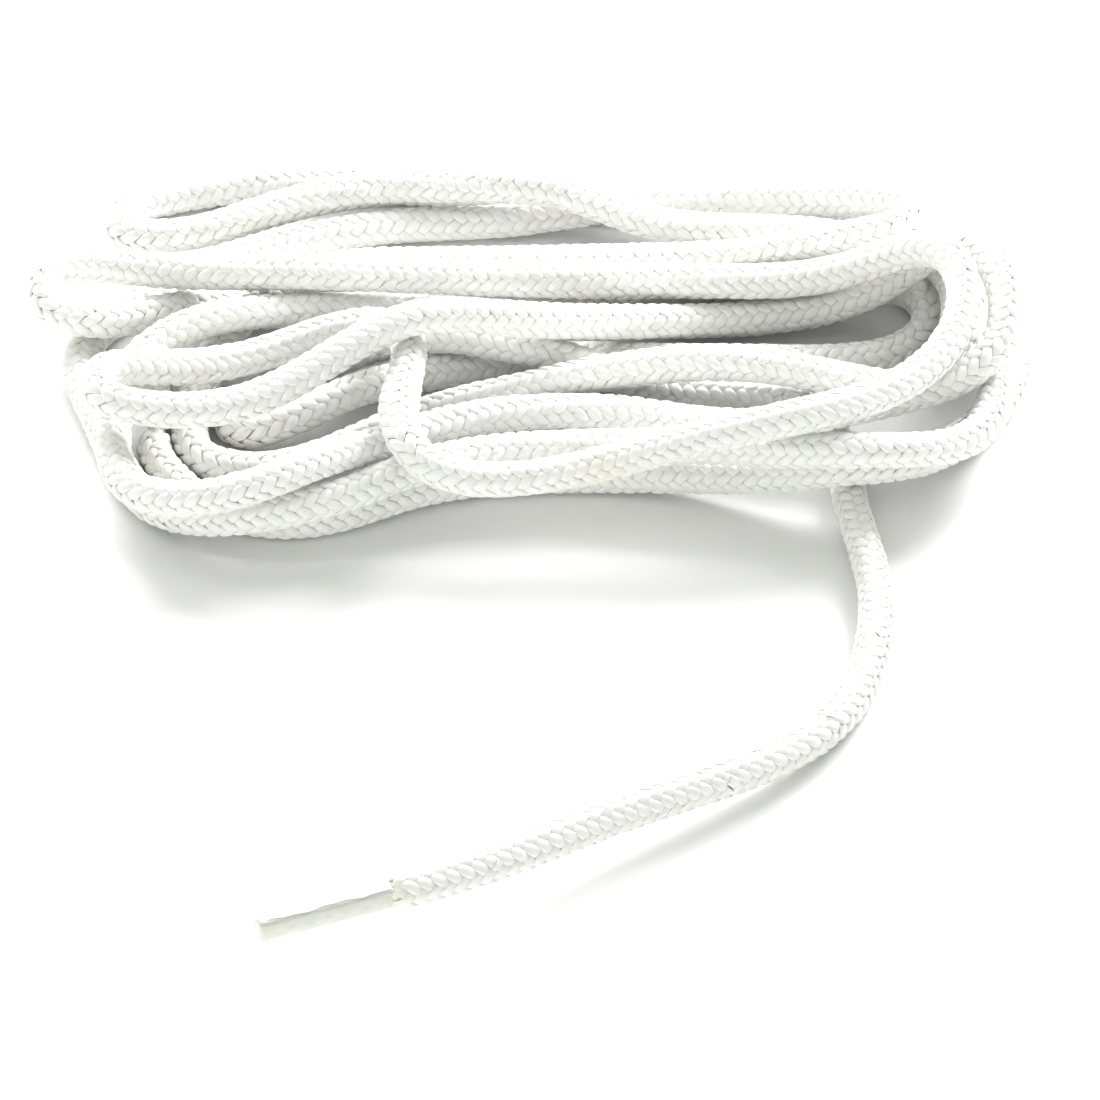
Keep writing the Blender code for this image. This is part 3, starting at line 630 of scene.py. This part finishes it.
JOINTS = [nearest_s(PIVOTS[child], LINE_S < TAIL_SPAN) for child in BENDS]
CUTS = tail_cuts(JOINTS)
tail(JOINTS, CUTS)
hank(CUTS[-1], TOTAL - TIP_LENGTH + TIP_OVERLAP)

# ---------------------------------------------------------------- film tips
TIP_RINGS = 60
CORNER_POINTS = 6
TIP_POINTS = 4 * CORNER_POINTS
# inset of the width and height, and corner radius
OUTER_FACE = (0, 0.0006)
INNER_FACE = (0.0005, 0.0003)
CORD_FACE = (0.0007, 0.0004)
DRAW_IN, DRAW_LENGTH = 0.22, 0.0011      # the free end is drawn in a little
LAP_LOW, LAP_HIGH = TIP_H / 2 - 0.00006, TIP_H / 2 + 0.00013
LAP_START, LAP_END_GAP = 0.0012, 0.0003  # lap's clearance from the free and inner ends
LAP_BACK = -TIP_W / 2 + 0.0007           # straight edge of the lap
LAP_EDGE = TIP_W / 2 - 0.00055           # mean place of its wavy edge
LAP_BEVEL = 0.00002


def waves(depth, first, second, phases):
    """Sum of two sines along the sleeve, each (height, radians per metre)."""
    return (first[0] * np.sin(depth * first[1] + phases[0])
            + second[0] * np.sin(depth * second[1] + phases[1]))


def rounded_rect(w, h, r):
    """Rounded rectangle, counter-clockwise from the right-hand side."""
    points = []
    for corner, (x, y) in enumerate(((1, 1), (-1, 1), (-1, -1), (1, -1))):
        for i in range(CORNER_POINTS):
            a = math.radians(90 * corner + 90 * i / (CORNER_POINTS - 1))
            points.append((x * (w / 2 - r) + r * math.cos(a), y * (h / 2 - r) + r * math.sin(a)))
    return np.array(points)


def film_sleeve(tag, outer, inner):
    """Hollow sleeve, with its wall closed at both ends."""
    n, m = TIP_RINGS, TIP_POINTS
    j = np.arange(m)
    k = (j + 1) % m
    quads = [grid(n, m), grid(n, m, base=n * m)[:, ::-1]]
    for row in (0, n - 1):
        a, b = row * m + j, row * m + k
        rim = np.stack([a, b, n * m + b, n * m + a], axis=1)
        quads.append(rim if row else rim[:, ::-1])
    return make_mesh("film_" + tag, np.concatenate([outer, inner]), np.concatenate(quads), FILM)


def film_lap(tag, depth, centre, side, up, phases):
    """Strip along the top of the sleeve, with a wavy loose edge."""
    front = np.sign((side[:, 1] * -1).mean()) or 1.0
    edge = LAP_EDGE + waves(depth, (0.00016, 620), (0.00010, 1500), phases)
    back = np.full(len(depth), LAP_BACK)
    corners = ((edge, LAP_LOW), (edge - LAP_BEVEL, LAP_HIGH), (back, LAP_HIGH), (back, LAP_LOW))
    verts = np.stack([centre + (front * x)[:, None] * side + z * up for x, z in corners], axis=1)
    last = (len(depth) - 1) * 4
    ends = np.array([[0, 1, 2, 3], [last + 3, last + 2, last + 1, last]])
    quads = np.concatenate([grid(len(depth), 4), ends])
    if front < 0:
        quads = quads[:, ::-1]
    return make_mesh("film_lap_" + tag, verts.reshape(-1, 3), quads, FILM, smooth=False)


def pressed_cord(tag, rings, centre):
    """The cord inside the sleeve, closed with flat end faces."""
    n, m = TIP_RINGS, TIP_POINTS
    verts = np.concatenate([rings, [centre[0]], [centre[-1]]])
    first, last = n * m, n * m + 1
    row = (n - 1) * m
    faces = [tuple(int(x) for x in quad) for quad in grid(n, m)]
    faces += [((j + 1) % m, j, first) for j in range(m)]
    faces += [(row + j, row + (j + 1) % m, last) for j in range(m)]
    mesh = bpy.data.meshes.new("pressed_" + tag)
    mesh.from_pydata([tuple(v) for v in verts], [], faces)
    mesh.validate()
    mesh.update()
    for face in mesh.polygons:
        face.use_smooth = len(face.vertices) == 4
    mesh.materials.append(PRESSED_CORD)
    return add_object("pressed_" + tag, mesh)


def film_tip(tag, body, free_end, heading, seed):
    """Sleeve, lap and pressed cord from a free end inwards; heading is the sign of s inwards."""
    s = np.linspace(free_end, free_end + heading * TIP_LENGTH, TIP_RINGS)
    depth = np.abs(s - free_end)
    centre, along, _, _ = frames_at(s)
    up = np.cross(unit(np.cross(along, VERTICAL)), along)
    up = up * np.sign(up[:, 2:3])
    side = np.cross(along, up)
    phases = np.random.default_rng(seed).uniform(0, 6.28, 4)
    ripple = waves(depth, (0.00006, 900), (0.00005, 2100), phases[:2])
    draw = 1 - DRAW_IN * np.maximum(0.0, 1 - depth / DRAW_LENGTH) ** 2
    width = (TIP_W + ripple) * draw
    height = (TIP_H - 0.5 * ripple) * draw

    def loft(inset, radius):
        rings = []
        for i in range(TIP_RINGS):
            outline = rounded_rect(width[i] - inset, height[i] - inset, radius)
            rings.append(centre[i] + outline[:, :1] * side[i] + outline[:, 1:] * up[i])
        return np.concatenate(rings)

    sleeve = film_sleeve(tag, loft(*OUTER_FACE), loft(*INNER_FACE))
    attach_rigid(sleeve, body, "tip_film_" + tag)
    keep = (depth > LAP_START) & (depth < TIP_LENGTH - LAP_END_GAP)
    lap = film_lap(tag, depth[keep], centre[keep], side[keep], up[keep], phases[2:])
    attach_rigid(lap, body)
    cord = pressed_cord(tag, loft(*CORD_FACE), centre)
    attach_rigid(cord, body, "cord_end_" + tag)


film_tip("a", "tip", free_end=0.0, heading=1, seed=5)
film_tip("b", "hank", free_end=TOTAL, heading=-1, seed=6)

# ---------------------------------------------------------------- floor, light, camera
FLOOR_HALF, FLOOR_Z = 3, -0.00001


def add_floor():
    mesh = bpy.data.meshes.new("floor")
    corners = ((-1, -1), (1, -1), (1, 1), (-1, 1))
    mesh.from_pydata([(x * FLOOR_HALF, y * FLOOR_HALF, FLOOR_Z) for x, y in corners],
                     [], [(0, 1, 2, 3)])
    floor = add_object("floor", mesh)
    mesh.materials.append(plain_material("floor_white", (0.905, 0.905, 0.90), rough=0.6,
                                         specular=0.2, spread=0.0, scale=10.0))
    floor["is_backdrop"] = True


def area_light(name, direction, distance, size, power, colour):
    """Disk light aimed at the origin from the given direction."""
    light = bpy.data.lights.new(name, "AREA")
    light.shape = "DISK"
    light.size = size
    light.energy = power
    light.color = colour
    ob = add_object(name, light)
    towards = Vector(direction).normalized()
    ob.location = towards * distance
    ob.rotation_euler = (-towards).to_track_quat("-Z", "Y").to_euler()
    ob.visible_camera = False


def room_light():
    """Soft world light, brighter behind the hank (+Y) than in front of it."""
    world = bpy.data.worlds.new("studio")
    bpy.context.scene.world = world
    world.use_nodes = True
    tree = world.node_tree
    background = tree.nodes["Background"]
    background.inputs["Color"].default_value = (0.985, 1.0, 0.955, 1)
    place = add_node(tree, "TexCoord")
    split = add_node(tree, "SeparateXYZ")
    strength = add_node(tree, "MapRange", {
        "From Min": -0.9, "From Max": 0.9, "To Min": 0.55, "To Max": 0.96},
        interpolation_type="SMOOTHSTEP")
    tree.links.new(place.outputs["Generated"], split.inputs["Vector"])
    tree.links.new(split.outputs["Y"], strength.inputs["Value"])
    tree.links.new(strength.outputs["Result"], background.inputs["Strength"])


def add_camera():
    camera = bpy.data.cameras.new("camera")
    camera.sensor_width = 36.0
    camera.lens = 306.4254545
    camera.clip_start, camera.clip_end = 0.05, 20
    ob = add_object("camera", camera)
    ob.location = (0.003523, -1.1284923, 0.9841395)
    ob.rotation_euler = (math.radians(49), 0, 0)
    bpy.context.scene.camera = ob


add_floor()
area_light("key", (0.51, 0.70, 0.50), distance=0.60, size=0.34, power=4.7,
           colour=(1.0, 0.985, 1.0))
area_light("key_back", (-0.30, 0.82, 0.50), distance=0.60, size=0.34, power=2.9,
           colour=(1.0, 0.985, 1.0))
area_light("second", (-0.62, 0.42, 0.66), distance=1.6, size=0.8, power=2.5,
           colour=(1.0, 0.99, 1.0))
area_light("fill", (-0.30, -0.95, 0.14), distance=1.8, size=0.9, power=11.0,
           colour=(0.995, 1.0, 0.99))
room_light()
add_camera()
view = bpy.context.scene.view_settings
view.view_transform = "Standard"
view.look = "None"
view.exposure = 0.04
view.gamma = 0.78


def plain(b):
    return [[float(v) for v in c] if hasattr(c, "__len__") else float(c) for c in b]


{"start": plain(START), "end": plain(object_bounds())}
